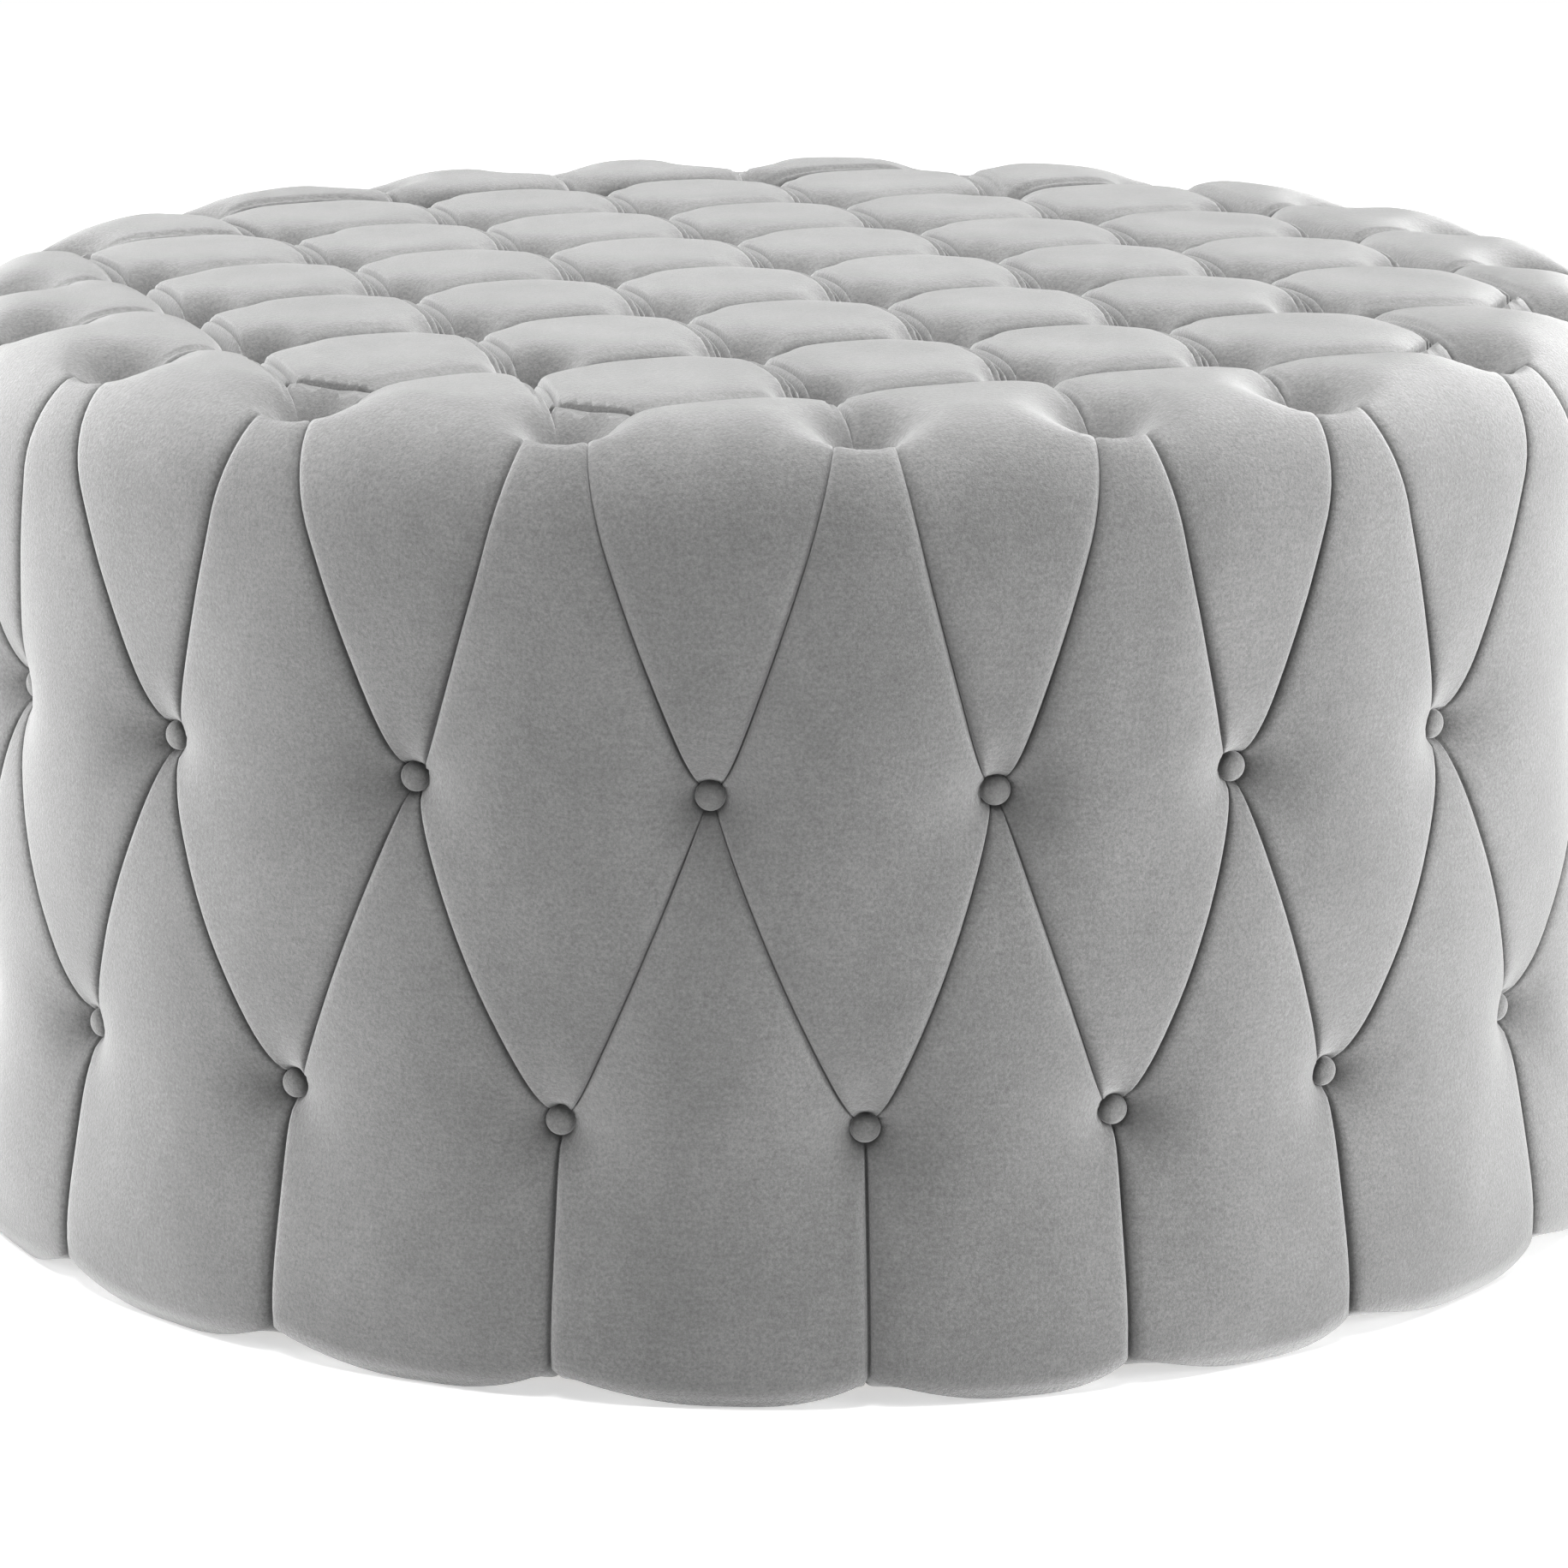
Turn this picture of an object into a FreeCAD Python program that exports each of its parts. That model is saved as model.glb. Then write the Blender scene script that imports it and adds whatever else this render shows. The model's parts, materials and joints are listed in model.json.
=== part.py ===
"""Round button-tufted storage ottoman: a spool-shaped plywood frame around a storage drum, a deep-tufted
cover over foam, and a tufted lid that lifts straight off. Millimetres, +Z up, origin on the floor on the
axis of symmetry. The tuft lattice lies along X and Y."""

import FreeCAD, Part
import math
import os

from FreeCAD import Vector

# Overall size
OVERALL_R = 432.0  # crest of the side puffs
HEIGHT = 457.0  # crest of the top puffs
HEM_R = 417.0
HEM_Z = 3.0
SHOULDER_ROUND = 34.0
LOW_BULGE_H = 60.0  # height above the hem where the side reaches its full radius

# Levels of the frame, from the floor up
GLIDE_H = 4.5
DUST_COVER_T = 0.8
DUST_COVER_INSET = 12.0
BASE_Z = 8.0
PLY_T = 18.0
BASE_TOP = BASE_Z + PLY_T
RING_Z = 350.0
RING_TOP = RING_Z + PLY_T
FELT_T = 2.0
LID_GAP = 0.2
LID_BOARD_Z = RING_TOP + FELT_T + LID_GAP
LID_BOARD_T = 12.0
LID_BOARD_TOP = LID_BOARD_Z + LID_BOARD_T
LID_FOAM_TOP = 397.0
RIM_FOAM_TOP = 400.0

# Radii of the frame
FLANGE_R = 397.0  # base board, top ring and side foam
HOOP_R = 372.0
HOOP_T = 4.0
OPENING_R = 262.0
LINER_T = 3.0
STORAGE_FLOOR_T = 4.0
FELT_IN_R = OPENING_R + 2.0
FELT_OUT_R = OPENING_R + 20.0
RIM_FOAM_R = 374.0
CLEAR = 0.3  # between pieces that only touch
FIT = 0.05  # round a nail, screw or tie in its hole
PAST = 1.0  # how far a cut runs on past the material

# Tufting
PITCH = 102.6
RIM_ANGLES = (0.0, 16.2, 35.5, 54.5, 73.8)  # of the rim buttons in each quarter, from +Y towards +X
BUTTON_R = 7.0
BUTTON_H = 6.5
BUTTON_EDGE_H = 2.5
EDGE_BUTTON_INSET = 5.0
ROW_1_Z = 279.0
ROW_2_Z = 125.0
SIDE_SEAT_R = 407.0
RIM_SEAT_R = 388.0
RIM_SEAT_Z = 412.0
TOP_SEAT_Z = 404.0
TIE_R = 1.0
TIE_TRIM = 0.8  # a slanting tie stops this far short of the level faces at its ends
RIM_ANCHOR_INSET = 13.0  # the washers of the rim ties, from the edge of the top ring
WASHER_R = 9.0
WASHER_T = 1.6
DIMPLE_R = 8.5  # of the hollow round a button at its seat, and next at the surface
DIMPLE_MOUTH_R = 25.0

# Lid outline
LID_CORNER_SHARE = 0.65  # how far the lid follows a pleat towards the rim button
LID_OUTSET = 3.0  # lid edge outside the line of its edge buttons
LID_CLEARANCE = 4.0  # lid edge to the rim's inner edge
LID_BOARD_INSET = 6.0
LID_FOAM_INSET = 12.0
EDGE_ANCHOR_INSET = 16.0  # the ties of the edge buttons slant inwards to clear the board's edge
WASHER_SINK = 0.4  # the lid's washers, below the underside of its board

POST_COUNT = 8
POST_START = 22.5  # angle of the first post
POST_W = 40.0
POST_D = 60.0
POST_OUT_R = 365.0
GLIDE_COUNT = 6
GLIDE_START = 30.0
GLIDE_CIRCLE_R = 340.0
GLIDE_R = 14.0
NAIL_R = 2.0
NAIL_LENGTH = 15.0
STAPLE_COUNT = 40
STAPLE_W = 10.0
STAPLE_WIRE = 1.0
STAPLE_LEG = 6.0
STAPLE_CIRCLE_R = 391.0
HEM_TURN_R = 370.0
HEM_T = 2.4
SCREW_R = 2.0
SCREW_HEAD_R = 4.0
SCREW_HEAD_H = 2.5
SCREW_LENGTH = 45.0
RING_SCREW_LENGTH = 26.0
LOCATING_OUT_R = 258.0
LOCATING_IN_R = 240.0
LOCATING_H = 16.0
LINING_T = 1.0
TAB_W = 26.0
TAB_Y = PITCH / 2  # midway between two edge buttons
TAB_T = 1.4
TAB_TOP = 412.0
TAB_UNDER = 30.0

UP = Vector(0, 0, 1)
ORIGIN = Vector(0, 0, 0)


def cylinder(radius, z_low, z_high, x=0.0, y=0.0):
    return Part.makeCylinder(radius, z_high - z_low, Vector(x, y, z_low))


def ring(outer, inner, z_low, z_high):
    return cylinder(outer, z_low, z_high).cut(cylinder(inner, z_low - PAST, z_high + PAST))


def polar(radius, degrees, z=0.0):
    """The point at this radius, with its angle measured from +Y towards +X."""
    turn = math.radians(degrees)
    return Vector(radius * math.sin(turn), radius * math.cos(turn), z)


def save(name, solids):
    """Writes one node: a single solid, or a group of separate solids."""
    shape = solids if isinstance(solids, Part.Shape) else Part.makeCompound(solids)
    shape.exportStep("parts/" + name + ".step")


def rod(start, end, radius):
    return Part.makeCylinder(radius, (end - start).Length, start, end - start)


def quarter_turns(points):
    """The points of one quarter, carried round to all four."""
    turned = []
    for quarter in range(4):
        for point in points:
            x, y = point.x, point.y
            for _ in range(quarter):
                x, y = y, -x
            turned.append(Vector(x, y, point.z))
    return turned


# ---- where the buttons are ----


def rim_angles():
    return [quarter * 90.0 + angle for quarter in range(4) for angle in RIM_ANGLES]


def between_angles():
    """The angles midway between neighbouring rim buttons, where row 1 lies."""
    angles = rim_angles()
    following = angles[1:] + [360.0]
    return [(a + b) / 2 for a, b in zip(angles, following)]


def lid_button_points():
    """The 37 lattice points of the lid. Those on its edge sit a little inside their lattice line."""
    edge = 3 * PITCH - EDGE_BUTTON_INSET
    notch = 2 * PITCH - EDGE_BUTTON_INSET
    quarter = [Vector(0, PITCH, 0), Vector(0, 2 * PITCH, 0), Vector(PITCH, PITCH, 0)]
    quarter += [Vector(PITCH, 2 * PITCH, 0), Vector(2 * PITCH, PITCH, 0), Vector(notch, notch, 0)]
    quarter += [Vector(0, edge, 0), Vector(PITCH, edge, 0), Vector(-PITCH, edge, 0)]
    return [ORIGIN] + quarter_turns(quarter)


def lid_outline():
    """The closed outline of the lid along the pleats, at zero outset."""

    def towards(start, end):
        return start + (end - start) * LID_CORNER_SHARE

    rim_a = polar(RIM_SEAT_R, RIM_ANGLES[2])
    rim_b = polar(RIM_SEAT_R, RIM_ANGLES[3])
    flat_end = Vector(PITCH, 3 * PITCH, 0)
    notch = Vector(2 * PITCH, 2 * PITCH, 0)
    side_start = Vector(3 * PITCH, PITCH, 0)
    quarter = [flat_end, towards(flat_end, rim_a), towards(notch, rim_a), notch]
    quarter += [towards(notch, rim_b), towards(side_start, rim_b), side_start]
    points = quarter_turns(quarter)
    return Part.Face(Part.makePolygon(points + [points[0]]))


def lid_prism(outset, z_low, z_high):
    """The lid outline grown by this outset, as a solid between two levels."""
    face = lid_outline()
    if outset:
        face = face.makeOffset2D(outset, 2)
    face.translate(Vector(0, 0, z_low))
    return face.extrude(Vector(0, 0, z_high - z_low))


# ---- small repeated pieces ----


def button(seat, direction):
    """A covered button: a low cylinder with a domed front, standing on its seat."""
    dome_h = BUTTON_H - BUTTON_EDGE_H
    sphere_r = (BUTTON_R**2 + dome_h**2) / (2 * dome_h)
    edge = Vector(BUTTON_R, 0, BUTTON_EDGE_H)
    crown = Vector(0, 0, BUTTON_H)
    half = math.asin(BUTTON_R / sphere_r) / 2
    on_arc = Vector(sphere_r * math.sin(half), 0, BUTTON_H - sphere_r * (1 - math.cos(half)))
    outline = [
        Part.LineSegment(ORIGIN, Vector(BUTTON_R, 0, 0)).toShape(),
        Part.LineSegment(Vector(BUTTON_R, 0, 0), edge).toShape(),
        Part.Arc(edge, on_arc, crown).toShape(),
        Part.LineSegment(crown, ORIGIN).toShape(),
    ]
    solid = Part.Face(Part.Wire(outline)).revolve(ORIGIN, UP, 360)
    solid.Placement = FreeCAD.Placement(seat, FreeCAD.Rotation(UP, direction))
    return solid


def dimple(seat, direction, depth):
    """The hollow that a button pulls into the soft cover, from just below its seat to past the surface."""
    start = seat - direction * CLEAR
    return Part.makeCone(DIMPLE_R, DIMPLE_MOUTH_R, depth + CLEAR + PAST, start, direction)


def screw(head, direction, length):
    """A countersunk-style screw: a flat head and a plain shank, one solid."""
    shank = Part.makeCylinder(SCREW_R, length, head, direction)
    return shank.fuse(Part.makeCylinder(SCREW_HEAD_R, SCREW_HEAD_H, head, direction))


def side_rows():
    """Each side button as (outward direction, seat). Row 1 first, then row 2."""
    row_1 = [(polar(1, a), polar(SIDE_SEAT_R, a, ROW_1_Z)) for a in between_angles()]
    row_2 = [(polar(1, a), polar(SIDE_SEAT_R, a, ROW_2_Z)) for a in rim_angles()]
    return row_1, row_2


def rim_seats():
    return [polar(RIM_SEAT_R, a, RIM_SEAT_Z) for a in rim_angles()]


def lid_seats():
    return [Vector(p.x, p.y, TOP_SEAT_Z) for p in lid_button_points()]


def lid_anchor(seat, z):
    """Where the tie of a lid button ends under the lid board."""
    on_edge = max(abs(seat.x), abs(seat.y)) > 2.5 * PITCH
    in_notch = min(abs(seat.x), abs(seat.y)) > 1.5 * PITCH
    reach = math.hypot(seat.x, seat.y)
    share = (reach - EDGE_ANCHOR_INSET) / reach if on_edge or in_notch else 1.0
    return Vector(seat.x * share, seat.y * share, z)


def rim_anchor(angle):
    """Where the tie of a rim button leaves the underside of the top ring."""
    return polar(FLANGE_R - RIM_ANCHOR_INSET, angle, RING_Z)


# ---- frame ----


def glides():
    solids = []
    for point in glide_points():
        foot = cylinder(GLIDE_R, 0, GLIDE_H, point.x, point.y)
        nail = cylinder(NAIL_R, GLIDE_H, GLIDE_H + NAIL_LENGTH, point.x, point.y)
        solids.append(foot.fuse(nail))
    return solids


def glide_points():
    return [polar(GLIDE_CIRCLE_R, GLIDE_START + i * 360 / GLIDE_COUNT) for i in range(GLIDE_COUNT)]


def post_angles():
    return [POST_START + i * 360 / POST_COUNT for i in range(POST_COUNT)]


def post_screw_points(z):
    return [polar(POST_OUT_R - POST_D / 2, a, z) for a in post_angles()]


def nail_holes(z_low, z_high):
    return [cylinder(NAIL_R + FIT, z_low, z_high, p.x, p.y) for p in glide_points()]


def dust_cover():
    z_high = GLIDE_H + DUST_COVER_T
    sheet = cylinder(FLANGE_R - DUST_COVER_INSET, GLIDE_H, z_high)
    return sheet.cut(nail_holes(GLIDE_H - PAST, z_high + PAST))


def base_board():
    board = cylinder(FLANGE_R, BASE_Z, BASE_TOP)
    nails = nail_holes(BASE_Z - PAST, GLIDE_H + NAIL_LENGTH + FIT)
    shanks = [screw_hole(p, UP, PLY_T + PAST) for p in post_screw_points(BASE_Z)]
    return board.cut(nails + shanks + staple_slots())


def screw_hole(head, direction, length):
    shank = Part.makeCylinder(SCREW_R + FIT, length + FIT, head, direction)
    start = head - direction * PAST
    seat = Part.makeCylinder(SCREW_HEAD_R + FIT, SCREW_HEAD_H + FIT + PAST, start, direction)
    return shank.fuse(seat)


def post(index):
    angle = post_angles()[index]
    block = Part.makeBox(
        POST_W,
        POST_D,
        RING_Z - BASE_TOP,
        Vector(-POST_W / 2, POST_OUT_R - POST_D, BASE_TOP),
    )
    block.rotate(ORIGIN, UP, -angle)
    low = post_screw_points(BASE_Z)[index]
    high = post_screw_points(RING_TOP)[index]
    holes = [screw_hole(low, UP, SCREW_LENGTH), screw_hole(high, -UP, SCREW_LENGTH)]
    return block.cut(holes)


def side_tie_channels():
    """Holes for the ties of the side buttons, from their seats to behind the hoop."""
    row_1, row_2 = side_rows()
    depth = SIDE_SEAT_R - HOOP_R + HOOP_T + PAST
    return [rod(seat - outward * depth, seat, TIE_R + FIT) for outward, seat in row_1 + row_2]


def rim_tie_channels():
    """Holes for the slanting ties of the rim buttons, from their seats to under the top ring."""
    return [rod(rim_anchor(a), seat, TIE_R + FIT) for a, seat in zip(rim_angles(), rim_seats())]


def side_hoop():
    return ring(HOOP_R, HOOP_R - HOOP_T, BASE_TOP, RING_Z).cut(side_tie_channels())


def side_foam():
    return ring(FLANGE_R, HOOP_R + CLEAR, BASE_TOP, RING_Z).cut(side_tie_channels())


def top_ring():
    board = ring(FLANGE_R, OPENING_R, RING_Z, RING_TOP)
    screws = [screw_hole(p, -UP, PLY_T + PAST) for p in post_screw_points(RING_TOP)]
    washers = [rim_washer(a, CLEAR) for a in rim_angles()]
    return board.cut(screws + rim_tie_channels() + washers)


def rim_foam():
    return ring(FLANGE_R, RIM_FOAM_R, RING_TOP, RIM_FOAM_TOP).cut(rim_tie_channels())


def storage_liner():
    return ring(OPENING_R + LINER_T, OPENING_R, BASE_TOP, RING_Z)


def storage_floor():
    return cylinder(OPENING_R - CLEAR, BASE_TOP, BASE_TOP + STORAGE_FLOOR_T)


def ledge_felt():
    return ring(FELT_OUT_R, FELT_IN_R, RING_TOP, RING_TOP + FELT_T)


def screws(points, direction, length):
    return [screw(point, direction, length) for point in points]


# ---- side and rim tufting ----


def side_ties():
    row_1, row_2 = side_rows()
    start = SIDE_SEAT_R - (HOOP_R - HOOP_T)
    return [rod(seat - outward * start, seat, TIE_R) for outward, seat in row_1 + row_2]


def side_washers():
    """A fibre washer behind the hoop at each tie."""
    row_1, row_2 = side_rows()
    washers = []
    for outward, seat in row_1 + row_2:
        face = seat - outward * (SIDE_SEAT_R - HOOP_R + HOOP_T + WASHER_T + CLEAR)
        washers.append(Part.makeCylinder(WASHER_R, WASHER_T, face, outward))
    return washers


def rim_ties():
    """Slanting ties from the washers under the top ring up to the rim buttons."""
    share = WASHER_T / (RIM_SEAT_Z - RING_Z)
    ties = []
    for angle, seat in zip(rim_angles(), rim_seats()):
        anchor = rim_anchor(angle)
        ties.append(trimmed_rod(anchor + (seat - anchor) * share, seat, TIE_R))
    return ties


def rim_washer(angle, grow=0.0):
    anchor = rim_anchor(angle)
    return cylinder(WASHER_R + grow, RING_Z - grow, RING_Z + WASHER_T, anchor.x, anchor.y)


# ---- covers ----


def body_blank():
    """The outer form before tufting: a slightly barrelled side and a rounded shoulder."""
    flat_r = OVERALL_R - SHOULDER_ROUND
    shoulder_z = HEIGHT - SHOULDER_ROUND
    low_bulge_z = HEM_Z + LOW_BULGE_H
    slant = SHOULDER_ROUND * math.sqrt(0.5)
    outline = [
        Part.LineSegment(Vector(0, 0, HEM_Z), Vector(HEM_R, 0, HEM_Z)),
        Part.LineSegment(Vector(HEM_R, 0, HEM_Z), Vector(OVERALL_R, 0, low_bulge_z)),
        Part.LineSegment(Vector(OVERALL_R, 0, low_bulge_z), Vector(OVERALL_R, 0, shoulder_z)),
        Part.Arc(
            Vector(OVERALL_R, 0, shoulder_z),
            Vector(flat_r + slant, 0, shoulder_z + slant),
            Vector(flat_r, 0, HEIGHT),
        ),
        Part.LineSegment(Vector(flat_r, 0, HEIGHT), Vector(0, 0, HEIGHT)),
        Part.LineSegment(Vector(0, 0, HEIGHT), Vector(0, 0, HEM_Z)),
    ]
    wire = Part.Wire([edge.toShape() for edge in outline])
    return Part.Face(wire).revolve(ORIGIN, UP, 360)


def body_cover():
    """The tufted cover of the side and rim with its soft fill, hollow for the frame and the lid."""
    frame_space = cylinder(FLANGE_R + CLEAR, BASE_Z, RING_TOP + CLEAR)
    rim_space = ring(FLANGE_R + CLEAR, RIM_FOAM_R - CLEAR, RING_TOP, RIM_FOAM_TOP + CLEAR)
    under_space = cylinder(HEM_TURN_R, 0, BASE_Z)
    turned_hem = cylinder(FLANGE_R + CLEAR, 0, BASE_Z - HEM_T)
    lid_space = lid_prism(LID_OUTSET + LID_CLEARANCE, RING_TOP, HEIGHT + PAST)
    row_1, row_2 = side_rows()
    dimples = [dimple(seat, outward, OVERALL_R - SIDE_SEAT_R) for outward, seat in row_1 + row_2]
    dimples += [dimple(seat, UP, HEIGHT - RIM_SEAT_Z) for seat in rim_seats()]
    channels = side_tie_channels() + rim_tie_channels() + staple_slots()
    spaces = [frame_space, rim_space, under_space, turned_hem, lid_space]
    return body_blank().cut(spaces).cut(dimples + channels)


def staple(angle, grow=0.0):
    """One wire staple, its crown flat against the turned hem and its legs up in the base board."""
    width = STAPLE_W + 2 * grow
    wire = STAPLE_WIRE + 2 * grow
    crown_z = BASE_Z - HEM_T - STAPLE_WIRE - grow
    legs_top = BASE_Z + STAPLE_LEG + grow
    crown = Part.makeBox(width, wire, wire, Vector(-width / 2, -wire / 2, crown_z))
    leg_a = Part.makeBox(wire, wire, legs_top - crown_z, Vector(-width / 2, -wire / 2, crown_z))
    leg_b = leg_a.translated(Vector(width - wire, 0, 0))
    solid = crown.fuse([leg_a, leg_b]).removeSplitter()
    solid.translate(Vector(0, STAPLE_CIRCLE_R, 0))
    solid.rotate(ORIGIN, UP, -angle)
    return solid


def staple_angles():
    return [i * 360 / STAPLE_COUNT + 180 / STAPLE_COUNT for i in range(STAPLE_COUNT)]


def staple_slots():
    return [staple(angle, FIT) for angle in staple_angles()]


# ---- lid ----


def lid_ties(radius):
    """The ties of the lid buttons, from the washer under the board up to each seat."""
    z_low = LID_BOARD_Z + WASHER_SINK + WASHER_T
    return [trimmed_rod(lid_anchor(seat, z_low), seat, radius) for seat in lid_seats()]


def trimmed_rod(low, high, radius):
    """A rod that stops just short of the level faces at both ends."""
    slope = (high - low) * (TIE_TRIM / (high.z - low.z))
    return rod(low + slope, high - slope, radius)


def lid_board():
    board = lid_prism(LID_OUTSET - LID_BOARD_INSET, LID_BOARD_Z, LID_BOARD_TOP)
    pockets = [lid_washer(seat, CLEAR) for seat in lid_seats()]
    holes = [screw_hole(point, UP, RING_SCREW_LENGTH) for point in ring_screw_points()]
    tabs = [tab_slot(side) for side in (-1, 1)]
    return board.cut(pockets + lid_ties(TIE_R + FIT) + holes + tabs)


def lid_washer(seat, grow=0.0):
    """A washer let into the underside of the lid board."""
    z_low = LID_BOARD_Z + WASHER_SINK
    anchor = lid_anchor(seat, z_low)
    return cylinder(WASHER_R + grow, z_low - 2 * grow, z_low + WASHER_T, anchor.x, anchor.y)


def lid_foam():
    foam = lid_prism(LID_OUTSET - LID_FOAM_INSET, LID_BOARD_TOP, LID_FOAM_TOP)
    return foam.cut(lid_ties(TIE_R + FIT))


def lid_cover():
    """The tufted cover of the lid with its soft fill, wrapped down over the edge of the board."""
    blank = lid_prism(LID_OUTSET, LID_BOARD_Z + CLEAR, HEIGHT)
    board_space = lid_prism(LID_OUTSET - LID_BOARD_INSET + CLEAR, LID_BOARD_Z - PAST, LID_BOARD_TOP + CLEAR)
    foam_space = lid_prism(LID_OUTSET - LID_FOAM_INSET + CLEAR, LID_BOARD_TOP, LID_FOAM_TOP + CLEAR)
    dimples = [dimple(seat, UP, HEIGHT - TOP_SEAT_Z) for seat in lid_seats()]
    tabs = [tab_slot(side) for side in (-1, 1)]
    cuts = [board_space, foam_space] + dimples + lid_ties(TIE_R + FIT) + tabs
    return blank.cut(cuts)


def locating_ring():
    z_low = LID_BOARD_Z - LOCATING_H
    body = ring(LOCATING_OUT_R, LOCATING_IN_R, z_low, LID_BOARD_Z)
    holes = [screw_hole(point, UP, RING_SCREW_LENGTH) for point in ring_screw_points()]
    return body.cut(holes)


def ring_screw_points():
    z_low = LID_BOARD_Z - LOCATING_H
    radius = (LOCATING_OUT_R + LOCATING_IN_R) / 2
    return [polar(radius, a, z_low) for a in post_angles()]


def lid_lining():
    return cylinder(LOCATING_IN_R - CLEAR, LID_BOARD_Z - LINING_T, LID_BOARD_Z)


def pull_tab(side):
    """A webbing tab from under the lid board, out past its edge and up beside the lid."""
    edge_x = 3 * PITCH + LID_OUTSET
    z_low = LID_BOARD_Z
    y_low = TAB_Y - TAB_W / 2
    under_from = edge_x - TAB_UNDER
    under = Part.makeBox(edge_x + TAB_T - under_from, TAB_W, TAB_T, Vector(under_from, y_low, z_low))
    upright = Part.makeBox(TAB_T, TAB_W, TAB_TOP - z_low, Vector(edge_x, y_low, z_low))
    solid = under.fuse(upright).removeSplitter()
    return solid if side > 0 else solid.mirror(ORIGIN, Vector(1, 0, 0))


def tab_slot(side):
    """Room for the tab under the lid board and the edge of its cover."""
    under_from = 3 * PITCH + LID_OUTSET - TAB_UNDER
    width = TAB_W + 2 * CLEAR
    corner = Vector(under_from - CLEAR, TAB_Y - width / 2, LID_BOARD_Z - PAST)
    box = Part.makeBox(2 * TAB_UNDER, width, TAB_T + CLEAR + PAST, corner)
    return box if side > 0 else box.mirror(ORIGIN, Vector(1, 0, 0))


def write_body():
    row_1, row_2 = side_rows()
    save("glides", glides())
    save("dust_cover", dust_cover())
    save("base_board", base_board())
    for index in range(POST_COUNT):
        save("post_%d" % (index + 1), post(index))
    save("side_hoop", side_hoop())
    save("side_foam", side_foam())
    save("top_ring", top_ring())
    save("rim_foam", rim_foam())
    save("storage_liner", storage_liner())
    save("storage_floor", storage_floor())
    save("ledge_felt", ledge_felt())
    save("base_screws", screws(post_screw_points(BASE_Z), UP, SCREW_LENGTH))
    save("top_ring_screws", screws(post_screw_points(RING_TOP), -UP, SCREW_LENGTH))
    save("hem_staples", [staple(angle) for angle in staple_angles()])
    save("body_cover", body_cover())
    save("row_1_buttons", [button(seat, outward) for outward, seat in row_1])
    save("row_2_buttons", [button(seat, outward) for outward, seat in row_2])
    save("rim_buttons", [button(seat, UP) for seat in rim_seats()])
    save("side_button_ties", side_ties())
    save("side_tie_washers", side_washers())
    save("rim_button_ties", rim_ties())
    save("rim_tie_washers", [rim_washer(angle) for angle in rim_angles()])


def write_lid():
    save("lid_board", lid_board())
    save("lid_foam", lid_foam())
    save("lid_cover", lid_cover())
    save("lid_buttons", [button(seat, UP) for seat in lid_seats()])
    save("lid_button_ties", lid_ties(TIE_R))
    save("lid_tie_washers", [lid_washer(seat) for seat in lid_seats()])
    save("locating_ring", locating_ring())
    save("locating_ring_screws", screws(ring_screw_points(), UP, RING_SCREW_LENGTH))
    save("lid_lining", lid_lining())
    save("pull_tabs", [pull_tab(side) for side in (-1, 1)])


os.makedirs("parts", exist_ok=True)
write_body()
write_lid()
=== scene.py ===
"""Looks of the round button-tufted storage ottoman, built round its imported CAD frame. Metres, +Z up."""

import json
import math

import bmesh
import bpy
import numpy as np
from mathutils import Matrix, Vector


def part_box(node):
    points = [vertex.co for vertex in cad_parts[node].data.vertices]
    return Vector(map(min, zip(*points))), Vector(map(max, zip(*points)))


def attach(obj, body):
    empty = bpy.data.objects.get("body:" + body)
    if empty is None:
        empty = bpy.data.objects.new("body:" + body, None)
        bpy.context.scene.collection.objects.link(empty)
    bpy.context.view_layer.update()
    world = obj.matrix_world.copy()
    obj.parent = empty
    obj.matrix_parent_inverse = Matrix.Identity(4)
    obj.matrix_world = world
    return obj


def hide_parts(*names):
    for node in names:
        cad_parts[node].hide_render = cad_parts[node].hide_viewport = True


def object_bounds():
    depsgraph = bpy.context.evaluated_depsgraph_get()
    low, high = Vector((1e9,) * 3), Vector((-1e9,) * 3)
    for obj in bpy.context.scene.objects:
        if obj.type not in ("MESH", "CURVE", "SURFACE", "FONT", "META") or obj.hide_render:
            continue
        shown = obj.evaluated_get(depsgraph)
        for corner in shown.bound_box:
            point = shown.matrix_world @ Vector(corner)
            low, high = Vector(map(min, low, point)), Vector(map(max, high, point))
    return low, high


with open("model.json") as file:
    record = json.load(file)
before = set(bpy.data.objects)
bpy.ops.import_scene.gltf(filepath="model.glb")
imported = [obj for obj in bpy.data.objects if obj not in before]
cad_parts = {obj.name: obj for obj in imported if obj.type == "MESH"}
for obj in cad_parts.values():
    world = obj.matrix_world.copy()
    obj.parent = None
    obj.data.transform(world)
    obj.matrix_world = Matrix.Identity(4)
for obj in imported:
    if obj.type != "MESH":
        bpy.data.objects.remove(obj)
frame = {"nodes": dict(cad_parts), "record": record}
CAD_BOX = [list(corner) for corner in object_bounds()]
NODES = frame["nodes"]

MM = 0.001
TAU = 2 * math.pi
UP = np.array([0.0, 0.0, 1.0])
TINY = 1e-6  # keeps divisions clear of zero

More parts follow.
